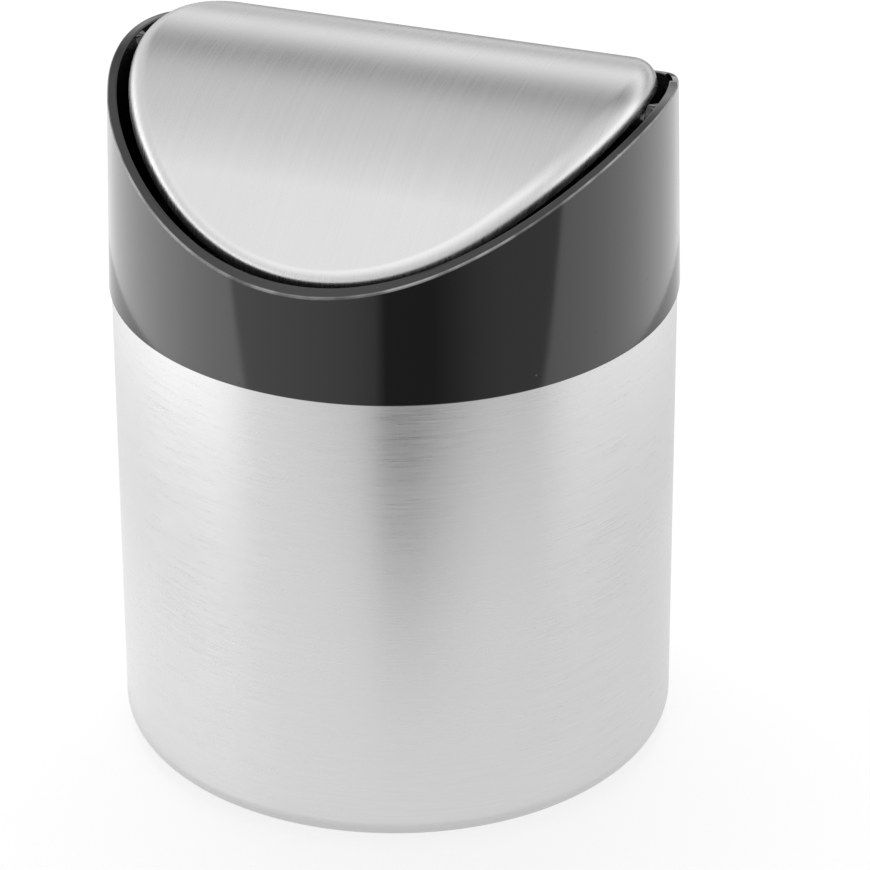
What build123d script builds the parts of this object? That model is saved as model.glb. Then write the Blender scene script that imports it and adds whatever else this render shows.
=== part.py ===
from build123d import *
from math import atan, cos, hypot, radians, sin, sqrt, tan
import os

# Countertop bin with a swing lid: a steel body, a lift-off collar and a lid that tips both ways.
# Millimetres. +Z is up, X is the lid's swing axis, -Y is the front. The origin is on the table,
# under the centre of the body.

# Steel body
body_radius = 59.5  # outside of the wall
body_height = 104.0  # table to the wall's upper edge
body_sheet = 0.6
base_bend = 5.0  # outside radius of the wall's turned-in lower edge
base_flange = 6.0  # flat ring past that bend
hem_depth = 6.0  # upper edge folded inwards, so that it isn't sharp

# Base plate and the anti-slip ring under it
plate_sheet = 0.6
plate_rim = 14.0  # flat border that lies on the flange and carries the ring
plate_rise = 2.0  # the middle is pressed up by this much
plate_slope = 3.0
plate_edge_gap = 0.3
foot_reveal = 0.5  # ring stands this far below the flange
foot_width = 6.0
foot_gap = 0.5

# Collar
collar_overhang = 0.5  # collar stands this far outside the body
collar_wall = 2.0
collar_draft = 1.5  # degrees
rim_front_rise = 22.8  # body's edge to the lowest point of the rim
rim_peak_rise = 47.3  # body's edge to the rim above the pivots
rim_edge = 0.4  # rounding of the rim's outer edge
collar_foot_edge = 0.3
skirt_depth = 12.0
skirt_wall = 1.8
skirt_gap = 0.3
skirt_lead = 0.8  # chamfer that finds the body's mouth
ledge_height = 2.5

# Relief pockets in the collar's inner wall, behind each pivot
relief_start = 17.0  # degrees from the swing axis
relief_end = 27.0
relief_depth = 0.8
relief_drop = 7.5

# Pivots
pivot_drop = 3.3  # rim's peak to the swing axis
pin_radius = 1.5
pin_running_gap = 0.05
pin_end_gap = 0.3
pin_grip = 7.0  # length of a pin held in the liner
pin_chamfer = 0.3
pin_cover = 0.9  # collar left outside a pin's bore
ear_gap = 0.6  # ear to the lid's end
ear_radius = 3.0
ear_gusset = 2.6  # half the gusset's width at the wall
ear_tip = 0.5

# Lid
lid_gap = 2.4  # lid to the collar's inner wall, at the pivots
lid_sheet = 0.5
lid_bend = 4.5  # the skin turns down all round with this outside radius
ridge_rise = 3.7  # rim's peak to the top of the ridge
roof_front_rise = 1.8  # rim's lowest point to the roof there, as if it had no bend
ridge_tightening = 0.106  # share taken off the radius of one arch from front to back
lid_front_drop = 0.8  # rim's lowest point to the skin's edge there
lid_pin_gap = 0.8  # skin's edge over the pins
lid_lip = 1.2  # skin's edge is folded inwards by this much, and holds the liner
lip_boss_gap = 0.3

# Liner under the skin
liner_gap = 0.1
liner_wall = 1.5
boss_radius = 3.0
boss_back = 1.0  # boss carries on this far past the pin's inner end
spine_thickness = 1.6
spine_depth = 4.0
rib_thickness = 1.4
rib_depth = 3.6
rib_place = 23.0  # cross ribs to the middle

# Sizes that follow from these
body_foot = foot_reveal
body_bore = body_radius - body_sheet
hem_bore = body_bore - body_sheet
flange_radius = body_radius - base_bend - base_flange
plate_floor = body_foot + body_sheet
plate_radius = body_radius - base_bend - plate_edge_gap

collar_radius = body_radius + collar_overhang
rim_front = body_height + rim_front_rise
rim_peak = body_height + rim_peak_rise
collar_top = rim_peak + 2.0 * rim_edge
skirt_radius = hem_bore - skirt_gap
pivot_height = rim_peak - pivot_drop


def collar_outside(height):
    """Outer radius of the tapering collar at a height."""
    return collar_radius - (height - body_height) * tan(radians(collar_draft))


lid_radius = collar_outside(pivot_height) - collar_wall - lid_gap
lid_top = rim_peak + ridge_rise
skin_edge_peak = pivot_height + pin_radius + lid_pin_gap
skin_edge_front = rim_front - lid_front_drop
lid_floor = skin_edge_front - 3.0 * lid_bend
pin_inner = lid_radius - pin_grip
bore_end = collar_outside(pivot_height) - pin_cover
pin_outer = bore_end - pin_end_gap
ear_inner = lid_radius + ear_gap
ear_root = collar_outside(pivot_height) - collar_wall / 2
liner_inset = lid_sheet + liner_gap


def tangent_slope(radius, reach, drop):
    """Angle of a line that leaves an arc's flank and is drop lower than its top at reach."""
    half = atan(drop / (reach + sqrt(reach**2 + drop * (drop - 2 * radius))))
    return 2 * half


roof_drop = lid_top - rim_front - roof_front_rise
roof_arch = (lid_radius**2 + roof_drop**2) / (2 * roof_drop)
ridge_radius = roof_arch * (1 - ridge_tightening)
roof_slope = tangent_slope(ridge_radius, lid_radius, roof_drop)


def draw_roof(top, radius):
    """Draw the outline of a rounded ridge with a flat slope on each side."""
    reach = collar_radius
    flank = radius * sin(roof_slope)
    shoulder = top - radius * (1 - cos(roof_slope))
    eaves = shoulder - (reach - flank) * tan(roof_slope)
    Line((-reach, eaves), (-flank, shoulder))
    ThreePointArc((-flank, shoulder), (0, top), (flank, shoulder))
    Line((flank, shoulder), (reach, eaves))
    Polyline((reach, eaves), (reach, lid_floor), (-reach, lid_floor), (-reach, eaves))


def draw_saddle(peak, drop, reach, level):
    """Draw a parabola that is drop lower at reach than at its peak, closed by a level line."""
    side = collar_radius
    end = peak - drop * (side / reach) ** 2
    Bezier((-side, end), (0, 2 * peak - end), (side, end))
    Polyline((side, end), (side, level), (-side, level), (-side, end))


def lid_form(inset):
    """Closed solid whose roof and sides lie inset inside the lid's outer face."""
    radius = lid_radius - inset

    def on_the_brow(edge):
        middle = edge @ 0.5
        return middle.Z > lid_floor + lid_bend and hypot(middle.X, middle.Y) > radius - 0.01

    with BuildPart() as form:
        with BuildSketch(Plane.YZ):
            with BuildLine():
                draw_roof(lid_top - inset, ridge_radius - inset)
            make_face()
        extrude(amount=lid_radius, both=True)
        with BuildSketch(Plane.XY.offset(lid_floor)):
            Circle(radius)
        extrude(amount=lid_top - lid_floor, mode=Mode.INTERSECT)
        brow = form.edges().filter_by(GeomType.LINE, reverse=True).filter_by(on_the_brow)
        fillet(brow, lid_bend - inset)
    return form.part


def under_edge(peak):
    """Solid that fills everything below the lid's rising and falling lower edge."""
    drop = skin_edge_peak - skin_edge_front
    with BuildPart() as below:
        with BuildSketch(Plane.YZ):
            with BuildLine():
                draw_saddle(peak, drop, lid_radius, lid_floor - lid_bend)
            make_face()
        extrude(amount=collar_radius, both=True)
    return below.part


os.makedirs("parts", exist_ok=True)

# Body wall: a rolled tube, its lower edge turned in under the base and its upper edge hemmed
with BuildPart() as body_wall:
    with BuildSketch(Plane.XZ):
        with BuildLine():
            foot = Line((flange_radius, body_foot), (body_radius - base_bend, body_foot))
            bend = JernArc(foot @ 1, foot % 1, base_bend, 90)
            outside = Line(bend @ 1, (body_radius, body_height))
            hem = Polyline(
                outside @ 1,
                (hem_bore, body_height),
                (hem_bore, body_height - hem_depth),
                (body_bore, body_height - hem_depth),
                (body_bore, body_foot + base_bend),
            )
            inner_bend = JernArc(hem @ 1, (0, -1), base_bend - body_sheet, -90)
            Polyline(inner_bend @ 1, (flange_radius, plate_floor), foot @ 0)
        make_face()
    revolve(axis=Axis.Z)
body_wall.part.label = "body_wall"
export_step(body_wall.part, "parts/body_wall.step")

# Base plate: lies on the turned-in flange, with its middle pressed up
with BuildPart() as base_plate:
    with BuildSketch(Plane.XZ):
        with BuildLine():
            border = plate_radius - plate_rim
            middle = border - plate_slope
            Polyline(
                (0, plate_floor + plate_rise),
                (middle, plate_floor + plate_rise),
                (border, plate_floor),
                (plate_radius, plate_floor),
                (plate_radius, plate_floor + plate_sheet),
                (border, plate_floor + plate_sheet),
                (middle, plate_floor + plate_rise + plate_sheet),
                (0, plate_floor + plate_rise + plate_sheet),
                close=True,
            )
        make_face()
    revolve(axis=Axis.Z)
base_plate.part.label = "base_plate"
export_step(base_plate.part, "parts/base_plate.step")

# Foot ring: soft ring stuck under the plate, inside the flange, that the bin stands on
with BuildPart() as foot_ring:
    with BuildSketch():
        Circle(flange_radius - foot_gap)
        Circle(flange_radius - foot_gap - foot_width, mode=Mode.SUBTRACT)
    extrude(amount=plate_floor)
foot_ring.part.label = "foot_ring"
export_step(foot_ring.part, "parts/foot_ring.step")

# Collar: tapering wall with a saddle-shaped rim, and a skirt that plugs into the body
with BuildPart() as collar:
    with BuildSketch(Plane.XZ):
        with BuildLine():
            ledge = body_height + ledge_height
            slope_end = ledge + collar_wall
            Polyline(
                (collar_radius, body_height),
                (collar_outside(collar_top), collar_top),
                (collar_outside(collar_top) - collar_wall, collar_top),
                (collar_outside(slope_end) - collar_wall, slope_end),
                (skirt_radius - skirt_wall, ledge),
                (skirt_radius - skirt_wall, body_height - skirt_depth),
                (skirt_radius - skirt_lead, body_height - skirt_depth),
                (skirt_radius, body_height - skirt_depth + skirt_lead),
                (skirt_radius, body_height),
                close=True,
            )
        make_face()
    revolve(axis=Axis.Z)
    with BuildSketch(Plane.YZ):
        with BuildLine():
            draw_saddle(rim_peak, rim_peak - rim_front, collar_outside(rim_front), collar_top)
        make_face()
    extrude(amount=collar_radius, both=True, mode=Mode.SUBTRACT)
    rim_edges = collar.edges().filter_by(lambda edge: (edge @ 0.5).Z > rim_front - rim_edge)
    fillet(rim_edges, rim_edge)
    fillet(collar.edges().filter_by(GeomType.CIRCLE).sort_by(SortBy.RADIUS)[-1], collar_foot_edge)

    # Reliefs behind the pivots
    with BuildSketch(Plane.XY.offset(rim_peak - relief_drop)):
        Circle(collar_outside(rim_peak) - collar_wall + relief_depth)
        with BuildSketch(mode=Mode.INTERSECT):
            for start in (relief_start, 180 - relief_end):
                with BuildLine():
                    near = PolarLine((0, 0), 2 * collar_radius, start)
                    far = PolarLine((0, 0), 2 * collar_radius, start + relief_end - relief_start)
                    Line(near @ 1, far @ 1)
                make_face()
    extrude(amount=relief_drop, mode=Mode.SUBTRACT)

    # Ears: a round boss with a gusset over it, bored blind for the pin
    for side in (1, -1):
        with BuildSketch(Plane.YZ.offset(side * ear_inner)):
            with Locations((0, pivot_height)):
                Circle(ear_radius)
        extrude(amount=side * (ear_root - ear_inner))
        with BuildSketch(Plane.XY.offset(pivot_height)):
            with BuildLine():
                Polyline(
                    (side * ear_inner, -ear_tip),
                    (side * ear_root, -ear_gusset),
                    (side * ear_root, ear_gusset),
                    (side * ear_inner, ear_tip),
                    close=True,
                )
            make_face()
        extrude(amount=pivot_drop - rim_edge)
        with BuildSketch(Plane.YZ.offset(side * bore_end)):
            with Locations((0, pivot_height)):
                Circle(pin_radius + pin_running_gap)
        extrude(amount=side * (ear_inner - bore_end), mode=Mode.SUBTRACT)
collar.part.label = "collar"
export_step(collar.part, "parts/collar.step")

# Lid skin: steel sheet with its edge folded inwards, and two slots in the fold for the bosses
with BuildPart() as lid_mouth:
    add(under_edge(skin_edge_peak + lid_sheet))
    with BuildSketch(Plane.XY.offset(lid_floor)):
        Rectangle(2 * lid_radius, 2 * (boss_radius + lip_boss_gap))
        Circle(lid_radius - lid_sheet, mode=Mode.INTERSECT)
        Circle(lid_radius - lid_lip)
    extrude(amount=lid_top - lid_floor, mode=Mode.INTERSECT)

with BuildPart() as lid_skin:
    add(lid_form(0))
    add(lid_form(lid_sheet) - under_edge(skin_edge_peak + lid_sheet), mode=Mode.SUBTRACT)
    add(under_edge(skin_edge_peak), mode=Mode.SUBTRACT)
    add(lid_mouth.part, mode=Mode.SUBTRACT)
lid_skin.part.label = "lid_skin"
export_step(lid_skin.part, "parts/lid_skin.step")

# Lid liner: plastic shell that rests on the skin's fold, ribbed, with a boss for each pin
with BuildPart() as lid_ribs:
    with BuildSketch(Plane.XY.offset(lid_floor)):
        with GridLocations(2 * rib_place, 0, 2, 1):
            Rectangle(rib_thickness, 2 * lid_radius)
    extrude(amount=lid_top - lid_floor)
    add(lid_form(liner_inset + rib_depth), mode=Mode.SUBTRACT)
    with BuildSketch(Plane.XY.offset(lid_top - spine_depth)):
        Rectangle(2 * lid_radius, spine_thickness)
    extrude(amount=spine_depth)
    add(lid_form(liner_inset), mode=Mode.INTERSECT)

with BuildPart() as bosses:
    for side in (1, -1):
        with BuildSketch(Plane.YZ.offset(side * (pin_inner - boss_back))):
            with Locations((0, pivot_height)):
                Circle(boss_radius)
                Rectangle(2 * boss_radius, lid_top - pivot_height, align=(Align.CENTER, Align.MIN))
                Circle(pin_radius, mode=Mode.SUBTRACT)
        extrude(amount=side * lid_bend * 2)
    add(lid_form(liner_inset), mode=Mode.INTERSECT)

with BuildPart() as lid_liner:
    add(lid_form(liner_inset))
    add(lid_form(liner_inset + liner_wall), mode=Mode.SUBTRACT)
    add(lid_ribs.part)
    add(under_edge(skin_edge_peak + lid_sheet), mode=Mode.SUBTRACT)
    add(bosses.part)
lid_liner.part.label = "lid_liner"
export_step(lid_liner.part, "parts/lid_liner.step")


def make_pin(side, name):
    """Pivot pin, pressed into the liner and turning in the collar's ear."""
    with BuildPart() as pin:
        with BuildSketch(Plane.YZ.offset(side * pin_inner)):
            with Locations((0, pivot_height)):
                Circle(pin_radius)
        extrude(amount=side * (pin_outer - pin_inner))
        chamfer(pin.edges().filter_by(GeomType.CIRCLE), pin_chamfer)
    pin.part.label = name
    export_step(pin.part, f"parts/{name}.step")


make_pin(-1, "pivot_pin_left")
make_pin(1, "pivot_pin_right")
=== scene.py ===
"""Looks of a countertop bin with a swing lid: its steel and plastic shells, studio and camera.

The object stands in the CAD's own frame: +Z is up, X is the lid's swing axis and -Y is the front.
Sizes of the object are in millimetres, and MM turns them into Blender's metres.
"""

from math import atan, cos, pi, radians, sin, sqrt, tan

import bpy
import numpy as np
from mathutils import Matrix, Vector


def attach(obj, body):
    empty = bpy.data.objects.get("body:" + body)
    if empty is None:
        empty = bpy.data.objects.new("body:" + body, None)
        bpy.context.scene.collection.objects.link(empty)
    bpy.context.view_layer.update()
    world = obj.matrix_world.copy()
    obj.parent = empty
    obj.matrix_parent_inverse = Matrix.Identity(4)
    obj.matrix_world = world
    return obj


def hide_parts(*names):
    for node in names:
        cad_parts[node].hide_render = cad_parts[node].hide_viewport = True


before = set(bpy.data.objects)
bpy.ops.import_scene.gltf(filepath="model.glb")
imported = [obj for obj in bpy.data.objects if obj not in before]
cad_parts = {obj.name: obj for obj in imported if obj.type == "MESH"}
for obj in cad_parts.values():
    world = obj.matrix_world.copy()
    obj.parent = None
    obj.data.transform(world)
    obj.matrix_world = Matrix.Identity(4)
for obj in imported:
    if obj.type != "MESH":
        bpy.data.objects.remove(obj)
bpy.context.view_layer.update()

MM = 0.001

# Steel body
BODY_RADIUS = 59.5
BODY_HEIGHT = 104.0
BODY_SHEET = 0.6
BASE_BEND = 5.0
BASE_FLANGE = 6.0
BODY_FOOT = 0.5
HEM_DEPTH = 6.0

# Collar
COLLAR_OVERHANG = 0.5
COLLAR_WALL = 2.0
COLLAR_DRAFT = tan(radians(1.5))
RIM_FRONT_RISE = 22.8
RIM_PEAK_RISE = 47.3
RIM_EDGE = 0.4
FOOT_EDGE = 0.3
SKIRT_GAP = 0.3
SKIRT_WALL = 1.8
SKIRT_DEPTH = 12.0
SKIRT_LEAD = 0.8
LEDGE_HEIGHT = 2.5
RELIEF = (17.0, 27.0)  # degrees from the swing axis
RELIEF_DEPTH = 0.8
RELIEF_DROP = 7.5
SEAM_GAP = 0.1  # the rim's face is split just outside the relief pockets

# Pivots
PIVOT_DROP = 3.3
PIN_RADIUS = 1.5
EAR_INNER = 55.0
EAR_ROOT = 57.9
EAR_RADIUS = 3.0
EAR_GUSSET = 2.6
EAR_TIP = 0.5
EAR_EDGE = 0.25

# Lid
LID_GAP = 2.4
LID_SHEET = 0.5
LID_BEND = 4.5
RIDGE_RISE = 3.7
ROOF_FRONT_RISE = 1.8
RIDGE_TIGHTENING = 0.106  # share taken off the radius of one arch from front to back
LID_FRONT_DROP = 0.8
LID_PIN_GAP = 0.8
LID_LIP = 1.2  # edge folded inwards
BOSS_RADIUS = 3.0
BOSS_GAP = 0.3

# Sizes that follow from these
COLLAR_RADIUS = BODY_RADIUS + COLLAR_OVERHANG
RIM_FRONT = BODY_HEIGHT + RIM_FRONT_RISE
RIM_PEAK = BODY_HEIGHT + RIM_PEAK_RISE
SKIRT_RADIUS = BODY_RADIUS - 2 * BODY_SHEET - SKIRT_GAP
PIVOT_HEIGHT = RIM_PEAK - PIVOT_DROP


def outer_radius(z):
    """Outer radius of the tapering collar at a height."""
    return COLLAR_RADIUS - (z - BODY_HEIGHT) * COLLAR_DRAFT


def rim_height(y):
    """Height of the rim, which falls from the pivots to the front and the back."""
    return RIM_PEAK - (RIM_PEAK - RIM_FRONT) * (y / outer_radius(RIM_FRONT)) ** 2


LID_RADIUS = outer_radius(PIVOT_HEIGHT) - COLLAR_WALL - LID_GAP
LID_TOP = RIM_PEAK + RIDGE_RISE
ROOF_DROP = LID_TOP - RIM_FRONT - ROOF_FRONT_RISE
ROOF_ARCH = (LID_RADIUS**2 + ROOF_DROP**2) / (2 * ROOF_DROP)
RIDGE_RADIUS = ROOF_ARCH * (1 - RIDGE_TIGHTENING)
EDGE_PEAK = PIVOT_HEIGHT + PIN_RADIUS + LID_PIN_GAP
EDGE_FRONT = RIM_FRONT - LID_FRONT_DROP
SLOT_HALF = BOSS_RADIUS + BOSS_GAP  # the fold stops on both sides of each boss

# Fineness of the meshes
COLUMNS = 720
ROOF_ROWS = 25
BEND_ROWS = 14
RIM_ROUNDS = 8
HALVINGS = 30


class Shell:
    """A mesh gathered from smooth patches, each with its own exact normals."""

    def __init__(self):
        self.index = {}
        self.points = []
        self.faces = []
        self.normals = []
        self.coords = []

    def vertex(self, point):
        """Number of the vertex at a point, which neighbouring patches share."""
        key = tuple(round(value, 5) for value in point)
        if key not in self.index:
            self.index[key] = len(self.points)
            self.points.append([value * MM for value in point])
        return self.index[key]

    def face(self, corners, normals, coords):
        """Add one face, without the corners that fall on each other."""
        ids = [self.vertex(corner) for corner in corners]
        kept = [k for k in range(len(ids)) if ids[k] != ids[k - 1]]
        if len(kept) > 2 and len({ids[k] for k in kept}) == len(kept):
            self.faces.append([ids[k] for k in kept])
            self.normals += [normals[k] for k in kept]
            self.coords += [coords[k] for k in kept]

    def patch(self, grid, closed=True, flip=False, normals=None, coords=None):
        """Add a grid of points, rows by columns; its columns close up where they go all round.

        Its outside is on the right of the rows' direction, for columns that go round Z by the
        right-hand rule, and flip turns it over.
        """
        grid = np.asarray(grid, float)
        rows, columns = grid.shape[:2]
        if normals is None:
            down = np.gradient(grid, axis=0)
            if closed:
                across = np.roll(grid, -1, 1) - np.roll(grid, 1, 1)
            else:
                across = np.gradient(grid, axis=1)
            normals = np.cross(across, down)
        length = np.linalg.norm(normals, axis=2, keepdims=True)
        normals = normals / np.maximum(length, 1e-12) * (-1 if flip else 1)
        if coords is None:
            coords = np.zeros((rows, columns, 2))
        for row in range(rows - 1):
            for column in range(columns if closed else columns - 1):
                after = (column + 1) % columns
                ring = [(row, column), (row, after), (row + 1, after), (row + 1, column)]
                if flip:
                    ring = ring[::-1]
                self.face(
                    [grid[k] for k in ring],
                    [normals[k] for k in ring],
                    [coords[k] for k in ring],
                )

    def flat(self, corners):
        """Add one flat face."""
        corners = [np.asarray(corner, float) for corner in corners]
        normal = sum(np.cross(corners[k - 1], corners[k]) for k in range(len(corners)))
        normal = normal / np.linalg.norm(normal)
        self.face(corners, [normal] * len(corners), [(0, 0)] * len(corners))

    def make(self, name, body, material):
        """Turn the shell into a piece that rides on a body of the part."""
        mesh = bpy.data.meshes.new(name)
        mesh.from_pydata(self.points, [], self.faces)
        layer = mesh.uv_layers.new(name="Grain")
        layer.data.foreach_set("uv", np.asarray(self.coords, float).ravel())
        mesh.normals_split_custom_set([tuple(normal) for normal in self.normals])
        mesh.materials.append(material)
        piece = bpy.data.objects.new(name, mesh)
        bpy.context.scene.collection.objects.link(piece)
        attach(piece, body)
        return piece


def arc(centre, radius, start, end, steps):
    """Points of an arc between two angles in degrees."""
    angles = np.radians(np.linspace(start, end, steps))
    return [(centre[0] + radius * cos(a), centre[1] + radius * sin(a)) for a in angles]


def turned(profile, angles):
    """Grid of a profile of (radius, height) points turned round Z."""
    return [[(r * cos(a), r * sin(a), z) for a in angles] for r, z in profile]


ROUND = np.linspace(-pi / 2, 1.5 * pi, COLUMNS, endpoint=False)


def make_body(material):
    """Rolled tube with its lower edge turned in and its upper edge hemmed."""
    shell = Shell()
    bore = BODY_RADIUS - BODY_SHEET
    hem = bore - BODY_SHEET
    bend = BODY_RADIUS - BASE_BEND
    flange = bend - BASE_FLANGE
    floor = BODY_FOOT + BODY_SHEET
    heart = (bend, BODY_FOOT + BASE_BEND)
    outside = arc(heart, BASE_BEND, -90, 0, 16)
    inside = arc(heart, BASE_BEND - BODY_SHEET, 0, -90, 10)
    runs = [
        [(flange, BODY_FOOT), *outside, (BODY_RADIUS, BODY_HEIGHT)],
        [(BODY_RADIUS, BODY_HEIGHT), (hem, BODY_HEIGHT)],
        [(hem, BODY_HEIGHT), (hem, BODY_HEIGHT - HEM_DEPTH)],
        [(hem, BODY_HEIGHT - HEM_DEPTH), (bore, BODY_HEIGHT - HEM_DEPTH)],
        [(bore, BODY_HEIGHT - HEM_DEPTH), *inside, (flange, floor)],
        [(flange, floor), (flange, BODY_FOOT)],
    ]
    for run in runs:
        shell.patch(turned(run, ROUND))
    return shell.make("steel_body", "can", material)


def rounded(corner, one, two, radius, steps):
    """Points of an arc that rounds a corner between two directions, from the first to the second."""
    one, two = (np.asarray(d, float) / np.hypot(*d) for d in (one, two))
    half = np.arccos(np.clip(one @ two, -1, 1)) / 2
    middle = (one + two) / np.hypot(*(one + two))
    centre = corner + middle * radius / sin(half)
    start = corner + one * radius / tan(half) - centre
    end = corner + two * radius / tan(half) - centre
    turn = pi - 2 * half
    shares = np.linspace(0, 1, steps)
    return [
        centre + (start * sin((1 - k) * turn) + end * sin(k * turn)) / sin(turn) for k in shares
    ]


def rim_corner(angle, inset):
    """Where the rim meets the wall that lies inset inside the collar's outer face."""
    r = COLLAR_RADIUS - inset
    for _ in range(RIM_ROUNDS):
        r = outer_radius(rim_height(r * sin(angle))) - inset
    return np.array((r, rim_height(r * sin(angle))))


def rim_run(angle, start, end, steps):
    """Points across the rim's face between two radii."""
    return [(r, rim_height(r * sin(angle))) for r in np.linspace(start, end, steps)]


def rim_fall(angle, r):
    """The rim's slope outwards."""
    step = 0.01
    return (rim_height((r + step) * sin(angle)) - rim_height((r - step) * sin(angle))) / (2 * step)


def turned_each(runs, angles):
    """Grid of one profile per angle."""
    columns = [[(r * cos(a), r * sin(a), z) for r, z in run] for run, a in zip(runs, angles)]
    return np.swapaxes(np.asarray(columns), 0, 1)


def make_collar(material):
    """Ring with a saddle-shaped rim, relief pockets, a skirt and two ears for the pins."""
    shell = Shell()
    relief_wall = outer_radius(RIM_PEAK) - COLLAR_WALL + RELIEF_DEPTH
    seam = relief_wall + SEAM_GAP
    ledge = BODY_HEIGHT + LEDGE_HEIGHT
    slope_end = ledge + COLLAR_WALL
    skirt_bore = SKIRT_RADIUS - SKIRT_WALL
    skirt_foot = BODY_HEIGHT - SKIRT_DEPTH

    def inner_radius(z):
        return outer_radius(z) - COLLAR_WALL

    def outside(angle):
        corner = rim_corner(angle, 0)
        fall = rim_fall(angle, corner[0])
        edge = rounded(corner, (COLLAR_DRAFT, -1), (-1, -fall), RIM_EDGE, 8)
        foot = arc((COLLAR_RADIUS - FOOT_EDGE, BODY_HEIGHT + FOOT_EDGE), FOOT_EDGE, -90, 0, 6)
        return [
            (SKIRT_RADIUS, BODY_HEIGHT),
            *foot,
            *edge,
            *rim_run(angle, edge[-1][0], seam, 4)[1:],
        ]

    def inside(angle):
        corner = rim_corner(angle, COLLAR_WALL)
        fall = rim_fall(angle, corner[0])
        edge = rounded(corner, (1, fall), (COLLAR_DRAFT, -1), RIM_EDGE, 8)
        return [*rim_run(angle, seam, edge[0][0], 3)[:-1], *edge, (inner_radius(slope_end), slope_end)]

    shell.patch(turned_each([outside(a) for a in ROUND], ROUND))
    relief_floor = RIM_PEAK - RELIEF_DROP
    relief_mouth = inner_radius(relief_floor)
    start, end = (radians(a) for a in RELIEF)
    for low, high, cut in (
        (start, end, True),
        (end, pi - end, False),
        (pi - end, pi - start, True),
        (pi - start, 2 * pi + start, False),
    ):
        angles = np.linspace(low, high, max(24, int((high - low) / pi * 360)))
        if not cut:
            shell.patch(turned_each([inside(a) for a in angles], angles), closed=False)
            continue
        top = [rim_run(a, seam, relief_wall, 2) for a in angles]
        back = [[rim_run(a, relief_wall, seam, 2)[0], (relief_wall, relief_floor)] for a in angles]
        floor = [[(relief_wall, relief_floor), (relief_mouth, relief_floor)] for a in angles]
        below = [[(relief_mouth, relief_floor), (inner_radius(slope_end), slope_end)] for a in angles]
        for runs in (top, back, floor, below):
            shell.patch(turned_each(runs, angles), closed=False)
        for angle, turn in ((low, -1), (high, 1)):
            brink = rim_run(angle, relief_wall, seam, 2)[0]
            pocket = (relief_mouth, relief_floor), (relief_wall, relief_floor)
            side = [brink, *inside(angle)[1:-1], *pocket]
            side = [(r * cos(angle), r * sin(angle), z) for r, z in side]
            shell.flat(side[::turn])
    runs = [
        [(inner_radius(slope_end), slope_end), (skirt_bore, ledge)],
        [(skirt_bore, ledge), (skirt_bore, skirt_foot)],
        [(skirt_bore, skirt_foot), (SKIRT_RADIUS - SKIRT_LEAD, skirt_foot)],
        [(SKIRT_RADIUS - SKIRT_LEAD, skirt_foot), (SKIRT_RADIUS, skirt_foot + SKIRT_LEAD)],
        [(SKIRT_RADIUS, skirt_foot + SKIRT_LEAD), (SKIRT_RADIUS, BODY_HEIGHT)],
    ]
    for run in runs:
        shell.patch(turned(run, ROUND))
    for side in (1, -1):
        add_ear(shell, side)
    return shell.make("gloss_collar", "top", material)


def add_ear(shell, side):
    """Round boss for a pin, and the gusset over it."""
    around = np.linspace(0, 2 * pi, 48, endpoint=False)
    face = [(EAR_INNER, 0.0), (EAR_INNER, EAR_RADIUS - EAR_EDGE)]
    edge = arc((EAR_INNER + EAR_EDGE, EAR_RADIUS - EAR_EDGE), EAR_EDGE, 180, 90, 5)
    for run in (face, [*edge, (EAR_ROOT, EAR_RADIUS)]):
        grid = [
            [(side * x, r * cos(a), PIVOT_HEIGHT + r * sin(a)) for a in around] for x, r in run
        ]
        shell.patch(grid, flip=side < 0)
    top = RIM_PEAK - RIM_EDGE
    plan = [
        (EAR_INNER, -EAR_TIP),
        (EAR_ROOT, -EAR_GUSSET),
        (EAR_ROOT, EAR_GUSSET),
        (EAR_INNER, EAR_TIP),
    ]
    lower = [(side * x, y, PIVOT_HEIGHT) for x, y in plan]
    upper = [(side * x, y, top) for x, y in plan]
    walls = [[lower[k - 1], lower[k], upper[k], upper[k - 1]] for k in range(4)]
    for corners in (upper, lower[::-1], *walls):
        shell.flat(corners[::side])


def tangent_slope(radius, reach, drop):
    """Angle of a line that leaves an arc's flank and is drop lower than its top at reach."""
    half = atan(drop / (reach + sqrt(reach**2 + drop * (drop - 2 * radius))))
    return 2 * half


def tent(y, top, radius, slope):
    """Height at y of a rounded ridge with a flat slope on each side."""
    y = np.abs(y)
    flank = radius * sin(slope)
    ridge = top - radius + np.sqrt(np.maximum(radius**2 - y**2, 0))
    panel = top - radius * (1 - cos(slope)) - (y - flank) * tan(slope)
    return np.where(y < flank, ridge, panel)


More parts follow.
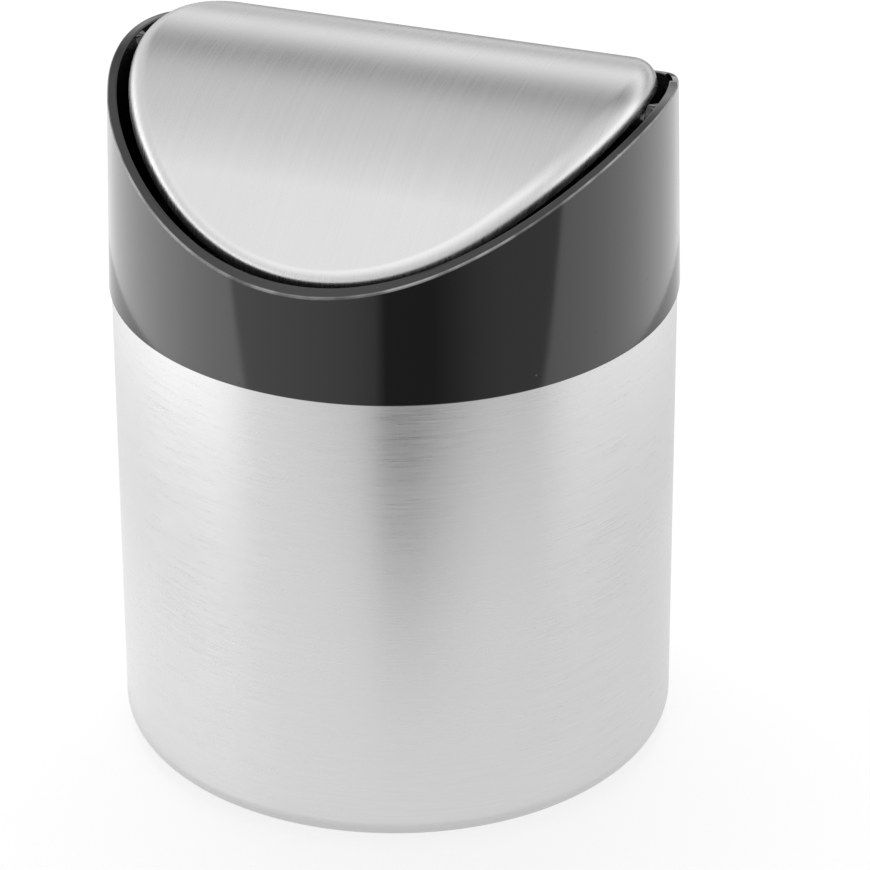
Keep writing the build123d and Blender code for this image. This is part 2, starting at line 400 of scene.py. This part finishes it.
def make_lid(material):
    """Bent sheet with a rounded ridge, a turned-down wall and an edge folded inwards."""
    shell = Shell()
    slope = tangent_slope(RIDGE_RADIUS, LID_RADIUS, ROOF_DROP)
    reach = LID_RADIUS - LID_BEND
    out = np.stack([np.cos(ROUND), np.sin(ROUND), np.zeros(COLUMNS)], 1)
    heart = reach * out
    heart[:, 2] = tent(heart[:, 1], LID_TOP - LID_BEND, RIDGE_RADIUS - LID_BEND, slope)
    tilt = np.arcsin(np.clip(heart[:, 1] / (RIDGE_RADIUS - LID_BEND), -sin(slope), sin(slope)))
    roof = np.stack([np.zeros(COLUMNS), np.sin(tilt), np.cos(tilt)], 1)
    turn = np.arccos(np.sum(roof * out, 1))[:, None]

    def edge_height(y):
        return EDGE_PEAK - (EDGE_PEAK - EDGE_FRONT) * (y / LID_RADIUS) ** 2

    def across_bend(share):
        """Directions part of the way round the bend, from the roof's normal to the wall's."""
        return (np.sin((1 - share) * turn) * roof + np.sin(share * turn) * out) / np.sin(turn)

    def bend_end(radius, rise):
        """Share of the bend above the lid's lower edge, for each column."""
        low, high = np.zeros((COLUMNS, 1)), np.ones((COLUMNS, 1))
        for _ in range(HALVINGS):
            middle = (low + high) / 2
            point = heart + radius * across_bend(middle)
            above = (point[:, 2] > edge_height(point[:, 1]) + rise)[:, None]
            low, high = np.where(above, middle, low), np.where(above, high, middle)
        return np.where(high > 0.9999, 1.0, low)

    def unrolled(point):
        """Where a point of the roof lies on the flat sheet."""
        angle = np.arcsin(np.clip(point[..., 1] / RIDGE_RADIUS, -sin(slope), sin(slope)))
        past = point[..., 1] - RIDGE_RADIUS * np.sin(angle)
        return np.stack([point[..., 0], RIDGE_RADIUS * angle + past / cos(slope)], -1)

    def cover(radius, rise, flip):
        """Roof, bend and wall at one face of the sheet. Returns the wall's lower edge."""
        end = bend_end(radius, rise)
        half = COLUMNS // 2 + 1
        right = (heart + radius * roof)[:half]
        shares = np.linspace(1, -1, ROOF_ROWS)[:, None, None]
        grid = np.repeat(right[None], ROOF_ROWS, 0)
        grid[..., 0] *= shares[..., 0]
        normals = np.repeat(roof[None, :half], ROOF_ROWS, 0)
        shell.patch(grid, closed=False, flip=flip, normals=normals, coords=unrolled(grid) * MM)
        upwards = np.linspace(1, 0, BEND_ROWS)
        rows = [across_bend(end * k) for k in upwards]
        points = [heart + radius * row for row in rows]
        foot = points[0].copy()
        foot[:, 2] = np.minimum(edge_height(foot[:, 1]) + rise, foot[:, 2])
        flat = unrolled(heart + radius * roof)
        coords = [flat + LID_BEND * turn * end * k * out[:, :2] for k in upwards]
        drop = (points[0][:, 2] - foot[:, 2])[:, None]
        points = [foot, *points]
        rows = [rows[0], *rows]
        coords = [coords[0] + drop * out[:, :2], *coords]
        shell.patch(points, flip=flip, normals=np.asarray(rows), coords=np.asarray(coords) * MM)
        return foot

    outer = cover(LID_BEND, 0, False)
    inner = cover(LID_BEND - LID_SHEET, LID_SHEET, True)
    lip = (LID_RADIUS - LID_LIP) * out
    sheet = (LID_RADIUS - LID_SHEET) * out
    slot = (np.abs(out[:, 1]) * LID_RADIUS < SLOT_HALF)[:, None]
    fold = np.where(slot, sheet, lip)
    under = fold.copy()
    under[:, 2] = edge_height(under[:, 1])
    over = fold.copy()
    over[:, 2] = edge_height(over[:, 1]) + LID_SHEET
    shell.patch([under, outer])
    shell.patch([over, under])
    shell.patch([inner, over])
    return shell.make("steel_lid", "lid", material)


def nodes_of(name):
    """A new material, with its nodes, its links and its shader."""
    material = bpy.data.materials.new(name)
    material.use_nodes = True
    tree = material.node_tree
    return material, tree, tree.nodes["Principled BSDF"]


def add_node(tree, kind, inputs=None, **settings):
    """A node with its settings and its inputs, each a value or another node's output."""
    node = tree.nodes.new(kind)
    for key, value in settings.items():
        setattr(node, key, value)
    for key, value in (inputs or {}).items():
        if isinstance(value, bpy.types.NodeSocket):
            tree.links.new(value, node.inputs[key])
        else:
            node.inputs[key].default_value = value
    return node


def maths(tree, operation, one, two):
    """One sum worked out from two numbers or outputs."""
    return add_node(tree, "ShaderNodeMath", {0: one, 1: two}, operation=operation).outputs[0]


def stretched_noise(tree, place, scale, detail=2.0, rough=0.5):
    """Noise drawn out along the axes whose scale is small."""
    mapping = add_node(tree, "ShaderNodeMapping", {"Vector": place, "Scale": scale})
    texture = add_node(
        tree,
        "ShaderNodeTexNoise",
        {"Vector": mapping.outputs[0], "Scale": 1.0, "Detail": detail, "Roughness": rough},
    )
    return texture.outputs[0]


def ranged(tree, value, low, high, start=0.3, end=0.7):
    """A value turned from the range between start and end into the one between low and high."""
    node = add_node(
        tree,
        "ShaderNodeMapRange",
        {"Value": value, "From Min": start, "From Max": end, "To Min": low, "To Max": high},
    )
    return node.outputs[0]


def brushed(name, place_of, tangent_of, fine, long, patches, base, rough, bump, turn=0.0):
    """Brushed steel: fine scratches, longer strokes and faint uneven patches."""
    material, tree, shader = nodes_of(name)
    place = place_of(tree)
    scratches = stretched_noise(tree, place, fine, 3.0, 0.6)
    strokes = stretched_noise(tree, place, long, 2.0)
    cloud = stretched_noise(tree, place, patches, 1.0)
    both = maths(tree, "ADD", scratches, strokes)
    dull = (*[base * 0.93] * 3, 1)
    bright = (*[base] * 2, base * 1.006, 1)
    tone = {0: ranged(tree, both, 0.0, 1.0, 0.7, 1.3), 1: dull, 2: bright}
    tree.links.new(add_node(tree, "ShaderNodeMixRGB", tone).outputs[0], shader.inputs["Base Color"])
    lines = ranged(tree, both, rough - 0.05, rough + 0.05, 0.7, 1.3)
    gloss = maths(tree, "ADD", lines, ranged(tree, cloud, -0.02, 0.02))
    tree.links.new(gloss, shader.inputs["Roughness"])
    relief = {"Height": both, "Strength": bump, "Distance": 0.02 * MM}
    tree.links.new(add_node(tree, "ShaderNodeBump", relief).outputs[0], shader.inputs["Normal"])
    tree.links.new(tangent_of(tree), shader.inputs["Tangent"])
    shader.inputs["Metallic"].default_value = 1.0
    shader.inputs["Anisotropic"].default_value = 0.75
    shader.inputs["Anisotropic Rotation"].default_value = turn
    return material


def object_place(tree):
    return add_node(tree, "ShaderNodeTexCoord").outputs["Object"]


def grain_place(tree):
    return add_node(tree, "ShaderNodeUVMap", uv_map="Grain").outputs[0]


def tangent_round(tree):
    return add_node(tree, "ShaderNodeTangent", direction_type="RADIAL", axis="Z").outputs[0]


def tangent_grain(tree):
    return add_node(tree, "ShaderNodeTangent", direction_type="UV_MAP", uv_map="Grain").outputs[0]


# The painted highlight line fades out between two insets from the collar's face and two depths below
# the rim
LINE_WIDTH = (0.3, 0.1)
LINE_DEPTH = (0.5, 0.3)


def painted_rim_highlight(tree, place):
    """Painted highlight: a fine light-grey line, stronger and weaker, along the collar's outer rim
    edge.
    """
    axes = add_node(tree, "ShaderNodeSeparateXYZ", {0: place}).outputs
    across = maths(tree, "MULTIPLY", axes["Y"], axes["Y"])
    fall = maths(tree, "MULTIPLY", across, (RIM_PEAK - rim_height(1.0)) / MM)
    below = maths(tree, "ADD", maths(tree, "ADD", axes["Z"], fall), -RIM_PEAK * MM)
    around = maths(tree, "ADD", across, maths(tree, "MULTIPLY", axes["X"], axes["X"]))
    radius = maths(tree, "POWER", around, 0.5)
    taper = maths(tree, "MULTIPLY", axes["Z"], COLLAR_DRAFT)
    inside = maths(tree, "ADD", radius, taper)
    outer = (COLLAR_RADIUS + BODY_HEIGHT * COLLAR_DRAFT) * MM
    near = ranged(tree, inside, 0.0, 1.0, *(outer - inset * MM for inset in LINE_WIDTH))
    top = ranged(tree, below, 0.0, 1.0, *(-depth * MM for depth in LINE_DEPTH))
    patchy = ranged(tree, stretched_noise(tree, place, (120.0,) * 3, 3.0), 0.25, 1.0, 0.4, 0.62)
    return maths(tree, "MULTIPLY", maths(tree, "MULTIPLY", near, top), patchy)


def plastic(name, base, rough, grain, bump, ior=1.5, painted_highlight=None):
    """Moulded plastic: slightly uneven gloss, a faint orange-peel, dust and, where given, a painted
    highlight.
    """
    material, tree, shader = nodes_of(name)
    place = object_place(tree)
    peel = stretched_noise(tree, place, (grain,) * 3, 3.0)
    cloud = stretched_noise(tree, place, (60.0,) * 3, 2.0)
    grains = {"Vector": place, "Scale": 160.0, "Randomness": 1.0}
    dust = add_node(tree, "ShaderNodeTexVoronoi", grains).outputs["Distance"]
    speck = ranged(tree, dust, 0.5, 0.0, 0.02, 0.04)
    dusty = {0: speck, 1: (*[base] * 3, 1), 2: (0.25, 0.25, 0.25, 1)}
    tone = add_node(tree, "ShaderNodeMixRGB", dusty)
    # Painted highlight: a light-grey line mixed into the base colour, in place of the glint on a
    # rounded edge
    if painted_highlight:
        highlight_mix = {0: painted_highlight(tree, place), 1: tone.outputs[0], 2: (0.6, 0.6, 0.6, 1)}
        tone = add_node(tree, "ShaderNodeMixRGB", highlight_mix)
    tree.links.new(tone.outputs[0], shader.inputs["Base Color"])
    uneven = ranged(tree, cloud, rough * 0.8, rough * 1.25)
    gloss = maths(tree, "ADD", uneven, ranged(tree, dust, 0.3, 0.0, 0.03, 0.06))
    tree.links.new(gloss, shader.inputs["Roughness"])
    relief = {"Height": peel, "Strength": bump, "Distance": 0.05 * MM}
    tree.links.new(add_node(tree, "ShaderNodeBump", relief).outputs[0], shader.inputs["Normal"])
    shader.inputs["IOR"].default_value = ior
    return material


body_steel = brushed(
    "body_steel",
    object_place,
    tangent_round,
    fine=(260.0, 260.0, 9000.0),
    long=(70.0, 70.0, 2600.0),
    patches=(14.0, 14.0, 30.0),
    base=0.68,
    rough=0.31,
    bump=0.07,
    turn=0.25,
)
lid_steel = brushed(
    "lid_steel",
    grain_place,
    tangent_grain,
    fine=(9000.0, 70.0, 1.0),
    long=(1800.0, 14.0, 1.0),
    patches=(40.0, 18.0, 1.0),
    base=0.68,
    rough=0.30,
    bump=0.12,
)
plain_steel = brushed(
    "plain_steel",
    object_place,
    tangent_round,
    fine=(900.0, 120.0, 900.0),
    long=(200.0, 40.0, 200.0),
    patches=(30.0, 30.0, 30.0),
    base=0.6,
    rough=0.36,
    bump=0.1,
)
# The gloss black's light line along the rim's outer edge is a painted highlight
gloss_black = plastic(
    "gloss_black", base=0.026, rough=0.07, grain=900.0, bump=0.05, ior=1.54, painted_highlight=painted_rim_highlight
)
matte_black = plastic("matte_black", base=0.045, rough=0.45, grain=2500.0, bump=0.5)
soft_black = plastic("soft_black", base=0.025, rough=0.75, grain=3500.0, bump=0.6)

body = make_body(body_steel)
collar = make_collar(gloss_black)
lid = make_lid(lid_steel)
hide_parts("body_wall")
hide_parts("collar")
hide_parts("lid_skin")

for node, material in (
    ("base_plate", plain_steel),
    ("foot_ring", soft_black),
    ("lid_liner", matte_black),
    ("pivot_pin_left", plain_steel),
    ("pivot_pin_right", plain_steel),
):
    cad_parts[node].data.materials.clear()
    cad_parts[node].data.materials.append(material)


# Camera: its direction and roll, where it aims, how far back it stands, and its lens
AZIMUTH = radians(19.88)
ELEVATION = radians(28.12)
ROLL = radians(-0.25)
AIM_RIGHT = 8.35 * MM
AIM_HEIGHT = 65.55 * MM
DISTANCE = 1.022
FOCAL_LENGTH = 197.4


# Studio: a white floor that keeps a soft shadow, and cards and a sky that only reflections see
def levels(tree, place, stops):
    """Brightness along a line, from pairs of a place between 0 and 1 and a brightness."""
    ramp = add_node(tree, "ShaderNodeValToRGB", {0: place})
    elements = ramp.color_ramp.elements
    while len(elements) < len(stops):
        elements.new(0.5)
    for element, (where, _) in zip(elements, stops):
        element.position = where
    for element, (_, level) in zip(elements, stops):
        element.color = (level / 2, level / 2, level / 2, 1)
    return maths(tree, "MULTIPLY", ramp.outputs[0], 2.0)


def add_stage(name, points, faces, strength_of, **seen_by):
    """A floor or card of the studio, whose brightness strength_of works out from its nodes."""
    mesh = bpy.data.meshes.new(name)
    mesh.from_pydata(points, [], faces)
    piece = bpy.data.objects.new(name, mesh)
    bpy.context.scene.collection.objects.link(piece)
    material, tree, shader = nodes_of(name)
    shader.inputs["Base Color"].default_value = (0, 0, 0, 1)
    shader.inputs["Roughness"].default_value = 0.9
    shader.inputs["Specular IOR Level"].default_value = 0.0
    shader.inputs["Emission Color"].default_value = (1, 1, 1, 1)
    tree.links.new(strength_of(tree), shader.inputs["Emission Strength"])
    mesh.materials.append(material)
    for ray, seen in seen_by.items():
        setattr(piece, "visible_" + ray, seen)
    return shader


def make_floor():
    """White floor: plain to the camera, a little darker in reflections, lit by the lamps as well."""
    half = 4.0
    corners = [(-half, -half, 0), (half, -half, 0), (half, half, 0), (-half, half, 0)]

    def strength(tree):
        path = add_node(tree, "ShaderNodeLightPath").outputs
        camera_only = maths(tree, "MULTIPLY", path["Is Camera Ray"], FLOOR_SEEN)
        mirrored = maths(tree, "MAXIMUM", path["Is Glossy Ray"], path["Is Transmission Ray"])
        return maths(tree, "ADD", camera_only, maths(tree, "MULTIPLY", mirrored, FLOOR_MIRRORED))

    shader = add_stage("floor", corners, [(0, 1, 2, 3)], strength)
    shader.inputs["Base Color"].default_value = (FLOOR_COLOUR, FLOOR_COLOUR, FLOOR_COLOUR, 1)


def make_ring(name, start, end, beside, ahead, edge, share=1.0):
    """Ring-shaped card just over the floor, that only reflections see.

    Its brightness changes with the direction from the object: it is share of what beside says, and
    what ahead says past an edge that lies across the front, between two distances.
    """
    turns = np.linspace(0, 2 * pi, 97)[:-1]
    points = [(r * cos(a), r * sin(a), CARD_HEIGHT) for r in (start, end) for a in turns]
    count = len(turns)
    faces = [(k, (k + 1) % count, (k + 1) % count + count, k + count) for k in range(count)]

    def strength(tree):
        place = add_node(tree, "ShaderNodeTexCoord").outputs["Object"]
        turn = {"Vector": place, "Angle": pi / 2 - AZIMUTH}
        facing = add_node(tree, "ShaderNodeVectorRotate", turn, rotation_type="Z_AXIS")
        axes = add_node(tree, "ShaderNodeSeparateXYZ", {0: facing.outputs[0]}).outputs
        angle = maths(tree, "ARCTAN2", axes["Y"], axes["X"])
        around = maths(tree, "ADD", maths(tree, "MULTIPLY", angle, 0.5 / pi), 0.5)
        past = ranged(tree, axes["X"], 0.0, 1.0, *edge)
        sides = [
            levels(tree, around, [(0.5 + degrees / 360, level * part) for degrees, level in stops])
            for stops, part in ((beside, share), (ahead, 1.0))
        ]
        return add_node(tree, "ShaderNodeMix", {0: past, 2: sides[0], 3: sides[1]}).outputs[0]

    add_stage(name, points, faces, strength, camera=False, diffuse=False, shadow=False)


def make_world():
    """Even light, a white background, and a sky that only reflections see.

    The sky changes from the front over the top to the back, and low down at both sides.
    """
    world = bpy.data.worlds.new("studio")
    bpy.context.scene.world = world
    world.use_nodes = True
    tree = world.node_tree
    background = tree.nodes["Background"]
    background.inputs["Color"].default_value = (1, 1, 1, 1)
    path = add_node(tree, "ShaderNodeLightPath").outputs
    way = add_node(tree, "ShaderNodeTexCoord").outputs["Generated"]
    axes = add_node(tree, "ShaderNodeSeparateXYZ", {0: way}).outputs
    over = maths(tree, "ARCTAN2", axes["Z"], maths(tree, "MULTIPLY", axes["Y"], -1.0))
    over = maths(tree, "MULTIPLY", over, 1 / pi)
    middle = levels(tree, over, [(degrees / 180, level) for degrees, level in SKY_LEVELS])
    around = maths(tree, "MULTIPLY", maths(tree, "ARCTAN2", axes["Y"], axes["X"]), 0.5 / pi)
    around = maths(tree, "ADD", around, 0.5)
    low = levels(tree, around, [(0.5 + degrees / 360, level) for degrees, level in SKY_SIDES])
    high = ranged(tree, axes["Z"], 0.0, 1.0, *SKY_HIGH_FROM)
    sides = add_node(tree, "ShaderNodeMix", {0: high, 2: low, 3: SKY_HIGH}).outputs[0]
    sideways = maths(tree, "ABSOLUTE", axes["X"], 0.0)
    beside = ranged(tree, sideways, 0.0, 1.0, *SKY_SIDES_FROM)
    sky = add_node(tree, "ShaderNodeMix", {0: beside, 2: middle, 3: sides}).outputs[0]
    mirrored = maths(tree, "MAXIMUM", path["Is Glossy Ray"], path["Is Transmission Ray"])
    seen = {0: path["Is Camera Ray"], 2: SKY_PLAIN, 3: 1.0}
    plain = add_node(tree, "ShaderNodeMix", seen).outputs[0]
    total = add_node(tree, "ShaderNodeMix", {0: mirrored, 2: plain, 3: sky}).outputs[0]
    tree.links.new(total, background.inputs["Strength"])


def add_lamp(name, place, target, width, height, power):
    """Soft lamp that lights the scene and isn't seen in reflections."""
    data = bpy.data.lights.new(name, "AREA")
    data.shape = "RECTANGLE"
    data.size = width
    data.size_y = height
    data.energy = power
    lamp = bpy.data.objects.new(name, data)
    lamp.location = place
    lamp.rotation_euler = (Vector(target) - Vector(place)).to_track_quat("-Z", "Y").to_euler()
    lamp.visible_glossy = False
    bpy.context.scene.collection.objects.link(lamp)


# Brightness of the cards by direction, in degrees to the right of the camera
CLOSE_BESIDE = [
    (-180, 1.0), (-130, 1.1), (-96, 1.12), (-70, 1.08), (-47, 1.05), (-27, 1.03), (10, 1.0),
    (30, 0.97), (54, 0.92), (91, 0.92), (130, 0.96), (180, 1.0),
]
NEAR_BESIDE = [
    (-180, 0.9), (-130, 0.98), (-96, 0.95), (-80, 0.9), (-68, 0.95), (-55, 1.0), (-27, 1.02),
    (10, 1.0), (30, 1.03), (54, 0.95), (75, 0.86), (91, 0.82), (130, 0.86), (180, 0.9),
]
NEAR_AHEAD = [
    (-90, 1.0), (-60, 0.95), (-27, 0.8), (-14, 0.72), (-7, 0.35), (-3, 0.0), (8, 0.0), (13, 0.38),
    (23, 0.66), (33, 0.8), (43, 0.95), (60, 0.95), (90, 0.95),
]
FAR_BESIDE = [
    (-180, 0.45), (-168, 0.55), (-150, 1.3), (-118, 1.9), (-101, 2.2), (-87, 2.3), (-74, 2.2),
    (-63, 2.1), (-45, 2.0), (45, 1.4), (57, 1.4), (70, 1.5), (96, 1.65), (113, 1.65), (150, 1.2),
    (168, 0.55), (180, 0.45),
]
FAR_AHEAD = [
    (-80, 1.1), (-56, 1.05), (-42, 0.95), (-24, 0.8), (-15, 0.68), (-7, 0.5), (-3, 0.04),
    (14, 0.03), (21, 0.16), (30, 0.35), (39, 0.47), (80, 0.5),
]
# Brightness of the sky, in degrees from the front horizon over the top to the back one
SKY_LEVELS = [
    (0, 0.8), (28, 0.88), (46, 1.24), (62, 1.47), (78, 1.12), (98, 0.88), (113, 0.81), (123, 0.73),
    (131, 0.52), (139, 0.34), (147, 0.6), (155, 0.96), (163, 1.22), (171, 0.8), (180, 0.3),
]
# Brightness low down at both sides, in degrees from the right towards the back
SKY_SIDES = [
    (-180, 2.2), (-165, 2.5), (-150, 2.9), (-135, 2.8), (-118, 1.3), (-90, 0.9), (-45, 0.75),
    (-25, 0.95), (-8, 1.7), (10, 2.1), (48, 1.9), (62, 1.1), (120, 0.85), (140, 1.0), (155, 1.8),
    (168, 2.2), (180, 2.2),
]
SKY_HIGH = 0.92
# Sines of the heights and of the sideways angles between which the sky changes
SKY_HIGH_FROM = (0.13, 0.4)
SKY_SIDES_FROM = (0.4, 0.65)
# What lights the object from all round
SKY_PLAIN = 0.5
# Floor: its colour, and its own light as the camera and as reflections see it
FLOOR_COLOUR = 0.35
FLOOR_SEEN = 0.735
FLOOR_MIRRORED = 0.65

# The cards' height, and where ahead takes over from beside in front of the object, in metres
CARD_HEIGHT = 0.0005
NEAR_EDGE = (0.183, 0.215)
FAR_EDGE = (0.154, 0.166)

make_floor()
make_ring("close_card", 0.064, 0.135, CLOSE_BESIDE, NEAR_AHEAD, NEAR_EDGE)
make_ring("near_card", 0.135, 0.256, NEAR_BESIDE, NEAR_AHEAD, NEAR_EDGE)
make_ring("far_card", 0.256, 0.46, FAR_BESIDE, FAR_AHEAD, FAR_EDGE)
make_ring("wide_card", 0.46, 0.9, FAR_BESIDE, FAR_AHEAD, FAR_EDGE, share=0.4)
make_world()
add_lamp("overhead", place=(-0.15, 0.3, 1.1), target=(0, 0, 0), width=0.8, height=0.6, power=5.0)

back = Vector((sin(AZIMUTH) * cos(ELEVATION), -cos(AZIMUTH) * cos(ELEVATION), sin(ELEVATION)))
right = Vector((cos(AZIMUTH), sin(AZIMUTH), 0))
up = back.cross(right)
aim = right * AIM_RIGHT + Vector((0, 0, AIM_HEIGHT))
turned_right = right * cos(ROLL) + up * sin(ROLL)
turned_up = back.cross(turned_right)
lens = bpy.data.cameras.new("camera")
lens.lens = FOCAL_LENGTH
lens.sensor_width = 36.0
camera = bpy.data.objects.new("camera", lens)
axes = Matrix((turned_right, turned_up, back)).transposed().to_4x4()
camera.matrix_world = Matrix.Translation(aim + back * DISTANCE) @ axes
bpy.context.scene.collection.objects.link(camera)
bpy.context.scene.camera = camera
bpy.context.scene.view_settings.view_transform = "Standard"
